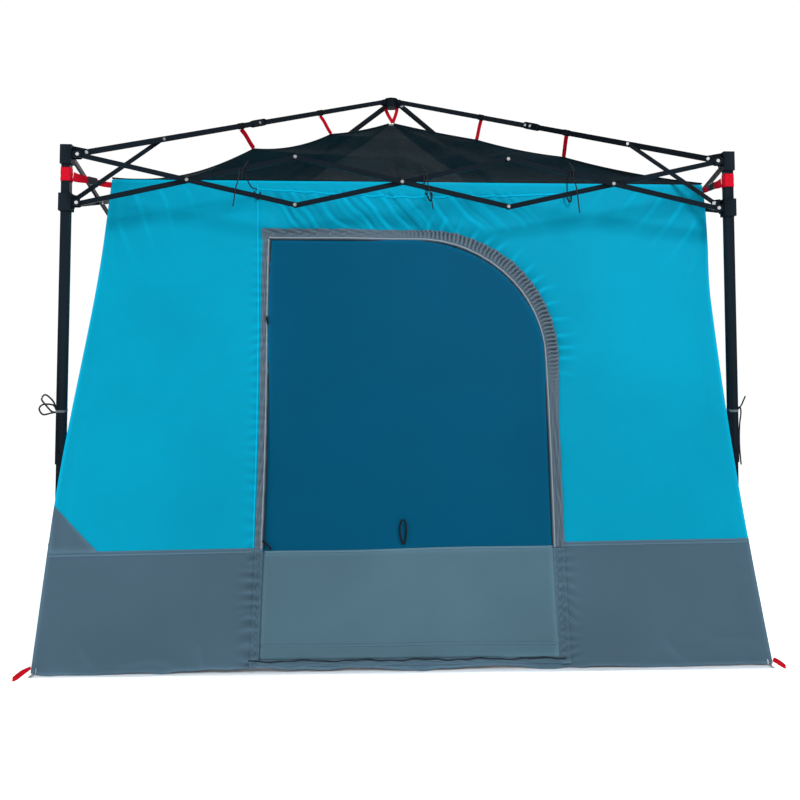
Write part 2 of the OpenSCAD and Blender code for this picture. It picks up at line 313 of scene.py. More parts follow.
def mixed(t, kind, factor, a, b):
    """Two colours mixed."""
    mix = t.nodes.new("ShaderNodeMix")
    mix.data_type, mix.blend_type = "RGBA", kind
    put(t, mix, {"Factor": factor, "A": a, "B": b})
    return mix.outputs["Result"]


def bump(t, shader, height, strength, distance, before=None):
    b = t.nodes.new("ShaderNodeBump")
    put(t, b, {"Strength": strength, "Distance": distance, "Height": height})
    if before is not None:
        put(t, b, {"Normal": before})
    put(t, shader, {"Normal": b.outputs["Normal"]})
    return b.outputs["Normal"]


def weave(t, pitch):
    """Threads over and under in all three directions, 0 to 1."""
    turn = 2 * math.pi / pitch
    x, y, z = (calc(t, "SINE", calc(t, "MULTIPLY", axis, turn)) for axis in split(t))
    level = calc(t, "MULTIPLY", calc(t, "ADD", x, y), z)
    return calc(t, "MULTIPLY_ADD", level, 0.25, 0.5)


def cloth_material(name, colour, rough=0.62, pitch=0.0024, vary=0.08, sheen=0.0):
    """Coated woven polyester: a fine weave, faint mottling, soft creases, and painted shade and highlight
    along the creases.
    """
    m, t, shader = material(name)
    threads = weave(t, pitch)
    woven = mixed(t, "MULTIPLY", 0.10, mottled(t, colour, 2.2, 5, 1 - vary, 1 + vary, 0.72), threads)
    # painted light: the colour is painted paler on the crests of the creases, a painted highlight, and
    # darker in their troughs, painted shade
    geometry = t.nodes.new("ShaderNodeNewGeometry")
    painted_light = ramp(t, geometry.outputs["Pointiness"],
                [(0.40, (0.45, 0.45, 0.45)), (0.50, (1, 1, 1)), (0.60, (1.6, 1.6, 1.6))])
    put(t, shader, {"Base Color": mixed(t, "MULTIPLY", 1.0, woven, painted_light), "Roughness": rough,
                    "Specular IOR Level": 0.03, "Sheen Weight": sheen, "Sheen Roughness": 0.4})
    first = bump(t, shader, threads, 0.25, 0.0004)
    bump(t, shader, noise_node(t, 28, 6), 0.18, 0.004, first)
    return m


def mesh_material(name, colour, cover):
    """See-through netting. A sheet has two faces, so cover is the share that each one hides."""
    m, t, shader = material(name)
    alpha = calc(t, "MULTIPLY_ADD", weave(t, 0.0016), 0.16, cover - 0.08)
    put(t, shader, {"Base Color": mottled(t, colour, 3.0, 5, 0.8, 1.25), "Roughness": 0.7,
                    "Specular IOR Level": 0.02, "Alpha": alpha})
    bump(t, shader, noise_node(t, 22, 5), 0.3, 0.006)
    return m


def powder_coat(t, shader, colour, rough):
    """A fine orange peel, and a painted highlight: the colour is painted paler along its sharp edges."""
    geometry = t.nodes.new("ShaderNodeNewGeometry")
    painted_edge_light = ramp(t, geometry.outputs["Pointiness"], [(0.55, (0, 0, 0)), (0.66, (1, 1, 1))])
    put(t, shader, {"Roughness": rough, "Specular IOR Level": 0.035})
    bump(t, shader, noise_node(t, 900, 2), 0.12, 0.0006)
    # painted highlight: a quarter of the way towards a paler tone on the sharp edges
    painted_light = calc(t, "MULTIPLY", painted_edge_light, 0.25)
    return mixed(t, "MIX", painted_light, mottled(t, colour, 9, 5, 0.85, 1.2), (0.030, 0.042, 0.055, 1))


def frame_material(name, rivets, plastic_above=None, colour=(0.0022, 0.0050, 0.0088), rough=0.34):
    """The frame's dark finish, with bright steel where the rivet heads stand out.

    rivets lists places, each a list of tests that must all hold: a coordinate, "<" or ">", a value, and
    sometimes the middle that the coordinate is measured from. The coordinates are x, y and z without
    their signs, radial along the diagonal and off across it.
    """
    m, t, shader = material(name)
    axes = split(t)
    x, y, z = (calc(t, "ABSOLUTE", axis) for axis in axes)
    across = calc(t, "ABSOLUTE", calc(t, "SUBTRACT", x, y))
    known = {
        "x": x, "y": y, "z": z,
        "radial": calc(t, "MULTIPLY", calc(t, "ADD", x, y), math.sqrt(0.5)),
        "off": calc(t, "MULTIPLY", across, math.sqrt(0.5)),
    }
    mask = 0.0
    for rivet in rivets:
        here = 1.0
        for coordinate, sign, value, *middle in rivet:
            c = known[coordinate]
            if middle:
                c = calc(t, "ABSOLUTE", calc(t, "SUBTRACT", c, middle[0]))
            test = calc(t, "LESS_THAN" if sign == "<" else "GREATER_THAN", c, value)
            here = calc(t, "MULTIPLY", test, here)
        mask = calc(t, "MAXIMUM", here, mask)
    coat = powder_coat(t, shader, colour, rough)
    if not rivets:
        put(t, shader, {"Base Color": coat})
        return m
    put(t, shader, {"Base Color": mixed(t, "MIX", mask, coat, (0.62, 0.64, 0.66, 1)), "Metallic": mask})
    if plastic_above is not None:
        base = calc(t, "GREATER_THAN", axes[2], plastic_above)
        put(t, shader, {"Roughness": calc(t, "MULTIPLY_ADD", base, 0.14, rough)})
    return m


def plain_material(name, colour, rough, grain, depth):
    """Moulded plastic or small fittings, with a fine grain."""
    m, t, shader = material(name)
    put(t, shader, {"Base Color": mottled(t, colour, 60, 4, 0.85, 1.15), "Roughness": rough})
    bump(t, shader, noise_node(t, grain, 3), 0.25, depth)
    return m


def webbing_material(name, colour, pitch=0.0018):
    """Ribbed woven tape."""
    m, t, shader = material(name)
    ribs = weave(t, pitch)
    put(t, shader, {"Base Color": ramp(t, ribs, [(0.2, shade(colour, 0.55)), (0.8, colour)]),
                    "Roughness": 0.6, "Specular IOR Level": 0.08})
    bump(t, shader, ribs, 0.6, 0.0006)
    return m


BLUE = cloth_material("wall_cloth_blue", (0.0003, 0.286, 0.450))
SLATE = cloth_material("skirt_cloth_slate", (0.062, 0.113, 0.156), rough=0.55)
SLATE_LIGHT = cloth_material("door_cloth_slate", (0.072, 0.139, 0.183), rough=0.55)
NAVY = cloth_material("door_cloth_navy", (0.0001, 0.071, 0.146), rough=0.58, vary=0.06)
GREY = cloth_material("trim_cloth_grey", (0.082, 0.118, 0.152), rough=0.42, sheen=0.03)
GROUND = cloth_material("groundsheet_cloth", (0.46, 0.50, 0.54), rough=0.5)
# a pale grey for strips of painted highlight along the door bands' inner edges
PAINTED_HIGHLIGHT = cloth_material("painted_highlight_grey", (0.19, 0.235, 0.275), rough=0.45)
NET = mesh_material("roof_net_front", (0.0012, 0.0135, 0.0215), 0.60)
# the rear net is the same netting as the front, given a paler colour: painted light
NET_REAR_LIT = mesh_material("roof_net_rear_lit", (0.0040, 0.0340, 0.0500), 0.74)
NET_SIDE = mesh_material("roof_net_side", (0.0022, 0.0120, 0.0190), 0.87)
PIPING = webbing_material("piping", (0.012, 0.018, 0.024))
RED = webbing_material("webbing_red", (0.66, 0.002, 0.018))
BLACK = webbing_material("webbing_black", (0.008, 0.009, 0.011))
TIE = webbing_material("tie_tape", (0.022, 0.026, 0.031), 0.0012)
BUCKLE = plain_material("buckle_plastic", (0.012, 0.013, 0.015), 0.38, 400, 0.0004)
CORD_GREY = webbing_material("cord_grey", (0.16, 0.19, 0.22), 0.0012)
ZIP = webbing_material("zip_coil", (0.022, 0.030, 0.040), 0.0022)
STEEL = plain_material("zip_pull", (0.030, 0.032, 0.036), 0.35, 500, 0.0003)

# ---- camera, light and floor

camera = add("camera", bpy.data.cameras.new("camera"))
camera.location = (-0.158, -4.750, 0.920)
camera.rotation_euler = (math.radians(90 + 3.415), 0, math.radians(-2.45))
camera.data.sensor_width = 36
camera.data.lens = 42.2
camera.data.shift_y = -0.084
camera.data.clip_end = 100
bpy.context.scene.camera = camera


def area_light(name, spot, aim, size, power):
    light = bpy.data.lights.new(name, "AREA")
    light.size, light.energy = size, power
    lamp = add(name, light)
    lamp.location = spot
    lamp.rotation_euler = (Vector(aim) - Vector(spot)).to_track_quat("-Z", "Y").to_euler()


area_light("key", (1.9, -4.8, 5.6), (0, 0, 1.0), 2.0, 238)
area_light("fill", (-4.5, -4.4, 3.0), (0, 0, 1.0), 3.0, 92)
area_light("back", (1.0, 5.5, 5.0), (0, 0, 1.4), 4.0, 110)

world = bpy.data.worlds.new("studio")
bpy.context.scene.world = world
world.use_nodes = True
background = world.node_tree.nodes["Background"]
seen = world.node_tree.nodes.new("ShaderNodeLightPath")
level = calc(world.node_tree, "MULTIPLY_ADD", seen.outputs["Is Camera Ray"], 0.72, 0.30)
put(world.node_tree, background, {"Color": (1, 1, 1, 1), "Strength": level})
bpy.context.scene.view_settings.view_transform = "Standard"

FLOOR, FLOOR_Z = 30, -0.001
floor_mesh = bpy.data.meshes.new("floor")
floor_corners = [(x * FLOOR, y * FLOOR, FLOOR_Z) for x, y in ((-1, -1), (1, -1), (1, 1), (-1, 1))]
floor_mesh.from_pydata(floor_corners, [], [(0, 1, 2, 3)])
floor = add("floor", floor_mesh)
floor_mat, floor_tree, floor_shader = material("floor_pale")
pale = ramp(floor_tree, noise_node(floor_tree, 0.8, 2), [(0, (0.93, 0.93, 0.93)), (1, (0.96, 0.96, 0.96))])
put(floor_tree, floor_shader, {"Base Color": pale, "Roughness": 0.9, "Specular IOR Level": 0.0,
                               "Emission Color": (1, 1, 1, 1), "Emission Strength": 0.74})
floor_mesh.materials.append(floor_mat)

# ---- the frame's own nodes

TRUSS_PIN = 1.208       # a truss pin's place along its truss
RAFTER_PIN = LEG * math.sqrt(2) - 0.070
STRUT_PIN = LEG * math.sqrt(2) - 0.045
RAFTER_PIN_Z = 1.812
HEAD = 0.0068           # half the side of the square that takes in a rivet head


def heads(truss_z, lug, radial_pin, radial_z):
    """The rivets of a moulding on a leg: two truss pins beside it, and one past the lug on the diagonal."""
    rows = [[(side, ">", 0.01655, LEG), (along, "<", HEAD, TRUSS_PIN), ("z", "<", HEAD, truss_z)]
            for side, along in (("y", "x"), ("x", "y"))]
    return rows + [[("off", ">", lug), ("radial", "<", HEAD, radial_pin), ("z", "<", HEAD, radial_z)]]


truss_paint_x = frame_material("truss_paint_x", [[("y", ">", 0.0112, LEG)]])
truss_paint_y = frame_material("truss_paint_y", [[("x", ">", 0.0112, LEG)]])
FRAME = {
    "outer_leg": frame_material("leg_paint", heads(1.790, 0.01165, RAFTER_PIN, RAFTER_PIN_Z), 1.754),
    "slider": frame_material("slider_plastic", heads(1.608, 0.0231, STRUT_PIN, 1.632), rough=0.5),
    "inner_leg": frame_material("inner_leg_paint", []),
    "lower_rafter": frame_material("lower_rafter_paint", [[("off", ">", 0.0101)],
                                                          [("off", ">", 0.00705), ("radial", ">", 0.95)]]),
    "upper_rafter": frame_material("upper_rafter_paint", [[("off", ">", 0.02255)]]),
    "rafter_strut": frame_material("strut_paint", [[("off", ">", 0.01855)]]),
    "front_truss": truss_paint_x,
    "rear_truss": truss_paint_x,
    "left_truss": truss_paint_y,
    "right_truss": truss_paint_y,
    "hub": frame_material("hub_paint", [[("off", ">", 0.0271), ("radial", ">", 0.038)]], rough=0.5),
    "leg_button": plain_material("button_plastic", (0.10, 0.11, 0.12), 0.4, 500, 0.0003),
}
for node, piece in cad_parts.items():
    for start, paint in FRAME.items():
        if node.startswith(start):
            for s in piece.material_slots:
                s.material = paint


# ---- fabric on the walls, each piece with a mesh of its own


def fold_with(piece, wall):
    """Gives the piece a mesh of its own."""
    if wall in (FRONT, REAR):
        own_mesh(piece)
    else:
        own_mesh(piece)
    return piece


def on_cloth(label, wall, a, v, d, paint, body=None, keep=None):
    """A sheet at places on a wall, with a mesh of its own."""
    return fold_with(grid(label, on_wall(wall, a, v, d), paint, body or WALL_BODY[wall], keep), wall)


# ---- the door's outline

def door_far(a, v):
    """Distance outside the door's outline; below zero inside it."""
    flat = np.maximum(np.maximum(DOOR_LEFT - a, a - DOOR_RIGHT), np.maximum(DOOR_SILL - v, v - DOOR_HEAD))
    arc = np.hypot(a - ARC_A, v - ARC_V) - DOOR_RADIUS
    return np.where((a > ARC_A) & (v > ARC_V), arc, flat)


def cut_along(a, v, far, cell, edge=0.0):
    """Moves grid points near an outline onto it, for a smooth cut, and tells which faces stay."""
    e = 1e-4
    s = far(a, v)
    ga, gv = (far(a + e, v) - s) / e, (far(a, v + e) - s) / e
    near = np.abs(s) < 0.55 * cell
    mid = lambda g: (g[:-1, :-1] + g[1:, 1:]) / 2
    return np.where(near, a - s * ga, a), np.where(near, v - s * gv, v), far(mid(a), mid(v)) > edge


def outline_path():
    """The arch from the top left, round the corner and down the right side: a, v and the way outward."""
    r = DOOR_RADIUS
    top = [(a, DOOR_HEAD, 0, 1) for a in np.arange(DOOR_LEFT - BAND_LEFT, ARC_A, PLEAT_STEP)]
    turn = [(ARC_A + r * math.sin(t), ARC_V + r * math.cos(t), math.sin(t), math.cos(t))
            for t in np.arange(0, math.pi / 2, PLEAT_STEP / r)]
    side = [(DOOR_RIGHT, v, 1, 0) for v in np.arange(ARC_V, SKIRT_TOP, -PLEAT_STEP)]
    return np.array(top + turn + side), len(top), len(top) + len(turn)


# ---- walls

def front_creases(a, v):
    """The front wall's creases round the door."""
    # diagonal ones under the eave seam, over the door
    t = a * 0.80 + v * 0.60 + 0.02 * noise(a, v, 0.15, 61)
    where = smooth(1.585, 1.66, v) * smooth(1.81, 1.77, v) * smooth(-0.56, -0.44, a) * smooth(0.62, 0.20, a)
    t = t + 0.010 * noise(a, v, 0.07, 65)
    d = 0.0120 * ridge(t * 88) * where * (0.6 + 0.4 * noise(a, v, 0.12, 62))
    d += 0.0060 * ridge(t * 203) * where * smooth(-0.4, 0.5, noise(t, 0 * t, 0.05, 66))
    # gathers beside the arch
    angle = np.arctan2(a - ARC_A, v - ARC_V)
    on_arc = smooth(-0.05, 0.15, angle) * smooth(1.9, 1.5, angle)
    d += 0.0060 * ridge(angle * 58 + 2 * noise(a, v, 0.09, 63)) * bell(0.060, 0.045, door_far(a, v)) * on_arc
    # puckers along the left seam, and beside the skirt's door bands
    left, right = DOOR_LEFT - BAND_LEFT, DOOR_RIGHT + BAND_RIGHT
    d += 0.0022 * np.sin(v * 150 + 3 * noise(a, v, 0.1, 64)) * bell(left, 0.035, a) * smooth(1.62, 1.5, v)
    for line, seed in ((left, 67), (right, 68)):
        near = bell(line, 0.030, a) * smooth(SKIRT_TOP + 0.02, SKIRT_TOP - 0.03, v)
        d += 0.0034 * ridge(v * 190 + 4 * noise(a, v, 0.06, seed)) * near
    # low folds above the hem
    low = ridge(a * 21 + v * 30 + 4 * noise(a, v, 0.2, 69))
    d += 0.0035 * (1 + low) * bell(0.060, 0.045, v) * smooth(0.58, 0.75, np.abs(a))
    # a soft bulge between the door and each side
    return d + 0.012 * (bell(-0.85, 0.25, a) + bell(0.85, 0.25, a)) * bell(1.05, 0.5, v)


def wrinkles(name, a, v):
    """How far the cloth stands out of its wall."""
    seed = {FRONT: 3, LEFT: 17, RIGHT: 29, REAR: 41}[name]
    in_side, in_top = edge_of(name, v) - np.abs(a), WALL_L[name] - v
    calm = smooth(0.0, 0.07 if name == FRONT else 0.14, np.minimum(in_side, in_top))
    calm_foot = smooth(0.0, 0.05, v - SKIRT_FOOT + 0.03)
    d = 0.0085 * noise(a, v, 0.62, seed) + 0.0040 * noise(a, v, 0.23, seed + 1)
    # short pulls along the side edges
    pulls = np.sin(v * 95 + 3 * noise(a, v, 0.3, seed + 2)) * bell(0, 0.05, in_side)
    d += 0.0022 * pulls * smooth(-0.1, 0.6, noise(0 * a, v, 0.16, seed + 3))
    # creases that run down from the top corners
    for side in (-1, 1):
        inward = edge_of(name, v) - a * side
        run, cross = inward * 0.75 + in_top, inward - 0.75 * in_top
        wave = ridge(cross * 52 + 2.5 * noise(a, v, 0.3, seed + 4))
        d += 0.0055 * wave * bell(0.16, 0.20, run) * smooth(0.01, 0.06, inward)
    d += front_creases(a, v) if name == FRONT else 0.010 * np.cos(a * 1.4) * bell(0.95, 0.5, v)
    return d * calm * calm_foot


def lean(name, a):
    """The skirt's top seam isn't quite level on the front wall."""
    return SKIRT_LEAN * a if name == FRONT else 0.0


def wall_grid(name, v0, v1, cell):
    rows = max(4, int(round((v1 - v0) / cell)))
    cols = int(round(2 * edge_of(name, v0) / cell))
    a, v = np.meshgrid(np.linspace(-1, 1, cols + 1), np.linspace(v0, v1, rows + 1))
    a = a * edge_of(name, v)
    at_foot, at_seam = smooth(0.12, SKIRT_FOOT, v), bell(SKIRT_TOP, 0.12, v)
    foot = 0.0075 * noise(a, 0 * a, 0.16, 7) + 0.003 * noise(a, 0 * a, 0.05, 8)
    return a, v + foot * at_foot + lean(name, a) * at_seam


def wall_piece(label, name, v0, v1, paint, cell, proud=0.0):
    a, v = wall_grid(name, v0, v1, cell)
    keep = None
    if name == FRONT:
        a, v, keep = cut_along(a, v, lambda p, q: door_far(p, q) - DOORWAY_GAP, cell)
    return on_cloth(label, name, a, v, wrinkles(name, a, v) + proud, paint, keep=keep)


DOOR_WIDTH = DOOR_RIGHT - DOOR_LEFT
for name in WALLS:
    cell = 0.0075 if name == FRONT else 0.016
    seam_top = SKIRT_TOP + SKIRT_LAP
    top = wall_piece(f"{name}_wall_cloth", name, SKIRT_TOP, WALL_L[name], BLUE, cell)
    skirt = wall_piece(f"{name}_wall_skirt", name, SKIRT_FOOT, seam_top, SLATE, cell, proud=0.0008)
    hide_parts(f"{name}_wall")
    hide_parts(f"{name}_wall")


# corner patch of slate cloth on the front wall's left edge
PATCH_W, PATCH_H, PATCH_FOOT = 0.168, 0.160, 0.392
patch_in, patch_up = np.meshgrid(np.linspace(0, 1, 13), np.linspace(0, 1, 13))
patch_v = PATCH_FOOT + PATCH_H * patch_up
patch_a = -edge_of(FRONT, patch_v) + PATCH_W * patch_in * (1 - patch_up)
patch = on_cloth("corner_patch", FRONT, patch_a, patch_v, wrinkles(FRONT, patch_a, patch_v) + 0.0016, SLATE)


def seam(label, name, points, width, paint):
    """A flat sewn seam along a line of places on a wall."""
    line = spline([(a, v + (lean(name, a) if abs(v - SKIRT_TOP) < 0.02 else 0), 0) for a, v in points],
                  len(points) * 40)
    along = np.gradient(line, axis=0)
    along /= np.linalg.norm(along, axis=1)[:, None]
    side = np.stack([-along[:, 1], along[:, 0]], -1)
    steps = np.linspace(-0.5, 0.5, 3)
    a = line[:, 0][:, None] + side[:, 0][:, None] * steps * width
    v = line[:, 1][:, None] + side[:, 1][:, None] * steps * width
    lift = 0.0022 + 0.0008 * (1 - (2 * steps) ** 2)[None]
    on_cloth(label, name, a, v, wrinkles(name, a, v) + lift, paint)


seam("front_eave_seam", FRONT, [(-0.575, EAVE_SEAM), (-0.30, 1.776), (0.00, 1.766), (0.22, 1.768),
                                (0.45, 1.776), (0.70, EAVE_SEAM)], 0.007, BLUE)
seam("front_left_seam", FRONT, [(-0.560, 1.815), (-0.552, 1.66), (-0.540, 1.30), (-0.538, 0.90),
                                (-0.536, 0.55), (-0.534, 0.412)], 0.006, BLUE)
for name in WALLS:
    e = float(edge_of(name, SKIRT_TOP)) - 0.004
    lines = {f"{name}_skirt_seam": (-e, 0, e)}
    if name == FRONT:
        lines = {"front_skirt_seam_left": (-e, -0.86, DOOR_LEFT - 0.03),
                 "front_skirt_seam_right": (DOOR_RIGHT + 0.035, 0.85, e)}
    for label, places in lines.items():
        seam(label, name, [(a, SKIRT_TOP) for a in places], 0.007, SLATE)

# ---- the door's bands and zip

arch, turn_from, turn_to = outline_path()


def band(label, line, width, paint, pleat):
    """A gathered band of cloth along one side of a line: pleat gives how far it stands out."""
    across = np.linspace(0, 1, 13)[None]
    w = np.asarray(width, float).reshape(-1, 1) if np.ndim(width) else width
    a = line[:, 0:1] + line[:, 2:3] * (across * w - 0.004)
    v = line[:, 1:2] + line[:, 3:4] * (across * w - 0.004)
    crown = 0.0030 + 0.0035 * np.sin(np.pi * across) ** 0.7
    d = wrinkles(FRONT, a, v) + crown + pleat(distances(line[:, :2])[:, None], across)
    return on_cloth(label, FRONT, a, v, d, paint)


def waves(s, length, phase):
    """The phase of pleats that are about that far apart."""
    return s * 2 * np.pi / length + phase


def arch_pleats(s, across):
    """Tight gathers round the arch's corner, and loose ones over the top and down the side."""
    first, last = s[turn_from, 0], s[turn_to - 1, 0]
    gathered = smooth(first - 0.10, first + 0.12, s) * smooth(last + 0.16, last - 0.04, s)
    tight = 0.0070 * (0.6 + np.sin(waves(s, 0.0155, 1.6 * noise(s, across, 0.07, 71) + 1.5 * across)))
    loose = 0.0058 * (1 + ridge(waves(s, 0.060, 6 * across + 3 * noise(s, across, 0.15, 72))))
    side = 0.0040 * (1 + ridge(waves(s, 0.170, 2.2 * across + 4 * noise(s, across, 0.2, 73))))
    free = loose * smooth(first, first - 0.3, s) + side * smooth(last, last + 0.2, s)
    d = tight * gathered * (0.35 + 0.65 * across) + free * (1 - gathered)
    return d * smooth(0.14, 0.34, across) * smooth(1.0, 0.92, across)


# the band is widest round the corner
arch_width = np.interp(np.arange(len(arch)),
                       [0, turn_from, (turn_from + turn_to) / 2, turn_to, turn_to + 100, len(arch)],
                       [BAND_TOP, BAND_TOP, 0.064, 0.054, BAND_RIGHT, BAND_RIGHT])
door_arch = band("door_arch_band", arch, arch_width, GREY, arch_pleats)
left_line = np.array([(DOOR_LEFT, v, -1, 0) for v in np.arange(SKIRT_TOP, DOOR_HEAD, BAND_STEP)])
door_left = band("door_left_band", left_line, BAND_LEFT, GREY,
                 lambda s, x: 0.0030 * np.sin(np.pi * x)
                 * ridge(waves(s, 0.11, 4 * x + 3 * noise(s, x, 0.2, 74))))
low_v = np.arange(0.028, SKIRT_TOP + 0.004, BAND_STEP)
low = lambda side, sign: np.array([(side, v, sign, 0) for v in low_v])
pucker = lambda s, x: 0.0024 * (1 + np.sin(waves(s, 0.024, 5 * noise(s, x, 0.06, 75)))) * np.sin(np.pi * x)
band_low_left = band("door_left_band_low", low(DOOR_LEFT, -1), BAND_LEFT, SLATE, pucker)
band_low_right = band("door_right_band_low", low(DOOR_RIGHT, 1), BAND_RIGHT, SLATE, pucker)


def zip_line(label, line, inset, proud, width=0.007, paint=ZIP):
    """A low rounded ribbon that follows a line: a coil zip, or in pale grey a strip of painted highlight."""
    across = np.linspace(-0.5, 0.5, 5)[None]
    a = line[:, 0:1] - line[:, 2:3] * (inset + across * width)
    v = line[:, 1:2] - line[:, 3:4] * (inset + across * width)
    d = wrinkles(FRONT, a, v) + proud + 0.0014 * (1 - (2 * across) ** 2)
    on_cloth(label, FRONT, a, v, d, paint)


arch_zip = arch[int(BAND_LEFT / PLEAT_STEP)::2]
zip_line("door_zip_arch", arch_zip, 0.004, 0.0024)
zip_line("door_zip_left", left_line, 0.004, 0.0024)
sill_a = np.arange(DOOR_LEFT - 0.026, DOOR_RIGHT + 0.036, BAND_STEP)
sill_line = np.array([(a, DOOR_SILL, 0, -1) for a in sill_a])
door_foot = band("door_foot_band", sill_line, 0.020, SLATE,
                 lambda s, x: 0.0012 * np.sin(np.pi * x)
                 * (1 + np.sin(waves(s, 0.09, 4 * noise(s, x, 0.2, 76)))))
foot_line = np.array([(a, DOOR_SILL + 0.0022 * math.sin(a * 31) + 0.0012 * math.sin(a * 83), 0, -1)
                      for a in np.arange(DOOR_LEFT - 0.028, DOOR_RIGHT + 0.02, BAND_STEP)])
zip_line("door_zip_foot", foot_line, 0.0, 0.0088, width=0.0032)
# pale strips along the inner edges of the arch and left bands: painted highlight where their folded edges
# catch the light
zip_line("door_arch_highlight_strip", arch_zip, -0.0022, 0.0062, width=0.0040, paint=PAINTED_HIGHLIGHT)
zip_line("door_left_highlight_strip", left_line, -0.0022, 0.0062, width=0.0034, paint=PAINTED_HIGHLIGHT)

# ---- the door flap

DOOR_BODY = "door_flap"


def door_wrinkles(a, v):
    far = -door_far(a, v)
    d = 0.0045 * noise(a, v, 0.70, 81) + 0.0016 * noise(a, v, 0.20, 82)
    return d * smooth(0.0, 0.12, far)


def door_panel(label, v0, v1, paint, proud=0.0):
    cell, gap = 0.010, 0.003
    rows, cols = int((v1 - v0) / cell), int(DOOR_WIDTH / cell)
    a = np.linspace(DOOR_LEFT + gap, DOOR_RIGHT - gap, cols + 1)
    a, v = np.meshgrid(a, np.linspace(v0, v1, rows + 1))
    v = v + lean(FRONT, a) * bell(SKIRT_TOP, 0.12, v)
    a, v, keep = cut_along(a, v, lambda p, q: -(door_far(p, q) + gap), cell, edge=-0.001)
    piece = on_cloth(label, FRONT, a, v, door_wrinkles(a, v) + proud, paint, DOOR_BODY, keep)
    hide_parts("door_flap")
    return piece


upper = door_panel("door_upper_panel", SKIRT_TOP - 0.008, DOOR_HEAD - 0.003, NAVY)
lower = door_panel("door_lower_panel", DOOR_SILL + 0.003, SKIRT_TOP, SLATE_LIGHT, proud=0.0012)


def door_seam(label, v_at, width, paint):
    a, step = np.meshgrid(np.linspace(DOOR_LEFT + 0.006, DOOR_RIGHT - 0.006, 120), np.linspace(-0.5, 0.5, 3))
    v = v_at + step * width + 0.0015 * np.sin(a * 9) + lean(FRONT, a) * bell(SKIRT_TOP, 0.12, v_at)
    on_cloth(label, FRONT, a, v, door_wrinkles(a, v) + 0.0026, paint, DOOR_BODY)


door_seam("door_middle_seam", SKIRT_TOP - 0.002, 0.007, SLATE_LIGHT)
door_seam("door_hem", 0.092, 0.006, SLATE)


def front_tape(label, places, width, body, count):
    """A narrow black tape over the front wall, given by places as a, v and how far each stands out."""
    line = spline([tuple(on_wall(FRONT, *p)) for p in places], count)
    fold_with(webbing(label, line, width, (1, 0, 0), BLACK, body), FRONT)


def zip_pull(label, a, v, aside):
    """A zip slider with its tab hanging from it."""
    body = WALL_BODY[FRONT]
    s = math.atan2(FOOT_D - EAVE_D, EAVE_Z)
    axes = [(1, 0, 0), (0, math.sin(s), math.cos(s)), (0, -math.cos(s), math.sin(s))]
    middle = on_wall(FRONT, a, v, 0.0085)
    fold_with(rounded_box(label, middle, (0.008, 0.012, 0.006), axes, STEEL, body, radius=0.002), FRONT)
    places = [(a + aside * t, v - 0.030 * t, 0.012 - 0.004 * t) for t in (0.0, 0.35, 0.7, 1.0)]
    front_tape(label + "_tab", places, 0.0065, body, 14)


zip_pull("door_zip_pull_upper", DOOR_LEFT - 0.002, 1.245, 0.006)
zip_pull("door_zip_pull_lower", DOOR_LEFT + 0.002, 0.430, 0.030)
front_tape("door_toggle_loop", [(-0.012, 0.415, 0.004), (-0.020, 0.445, 0.010), (-0.020, 0.480, 0.012),
                                (-0.010, 0.498, 0.011), (0.000, 0.480, 0.012), (0.000, 0.445, 0.010),
                                (-0.006, 0.415, 0.004)], 0.006, DOOR_BODY, 24)

# ---- the mesh roof

# places of the hangers on each hip and how far the net sags between them, from the peak out
HANGERS = {
    "front_left": ((0.255, 0.540), (0.010, 0.026, 0.050)),
    "front_right": ((0.336, 0.628), (0.004, 0.009, 0.014)),
    "rear_left": ((0.300, 0.590), (0.010, 0.022, 0.040)),
    "rear_right": ((0.300, 0.590), (0.010, 0.018, 0.030)),
}


def hip(corner, t):
    """A point on a hip, from the peak at t = 0 to the eave's corner at t = 1."""
    sx, sy = CORNERS[corner]
    (t1, t2), sags = HANGERS[corner]
    t = np.asarray(t, float)
    z = PEAK_Z - (PEAK_Z - EAVE_Z - 0.004) * t
    for t0, t_end, sag in ((0, t1, sags[0]), (t1, t2, sags[1]), (t2, 1, sags[2])):
        u = np.clip((t - t0) / (t_end - t0), 0, 1)
        z = z - sag * 4 * u * (1 - u)
    return np.stack([sx * EAVE_W * t, sy * EAVE_D * t, z], -1)


def roof_point(corner, t, q):
    """A place on a corner's panels: q = 0 on the hip, -1 in the middle of the front or rear, 1 of a side."""
    sx, sy = CORNERS[corner]
    names = {v: k for k, v in CORNERS.items()}
    own = hip(corner, t)
    mate = np.where((q < 0)[..., None], hip(names[(-sx, sy)], t), hip(names[(sx, -sy)], t))
    share = np.abs(q)[..., None] / 2
    p = own * (1 - share) + mate * share
    hang = 0.022 * np.abs(q) * (2 - np.abs(q)) * np.sin(np.pi * np.clip(t, 0, 1) ** 1.3)
    ripple = 0.0085 * np.sin(q * 21 + 7 * noise(t, q, 0.5, 91)) * np.sin(np.pi * t)
    ripple *= smooth(0.02, 0.3, np.abs(q))
    hang = hang + ripple * (1 if sx > 0 else 0.5) + 0.004 * noise(t * 1.2, q, 0.25, 92) * np.sin(np.pi * t)
    p[..., 2] -= hang
    return tent_pull(p)


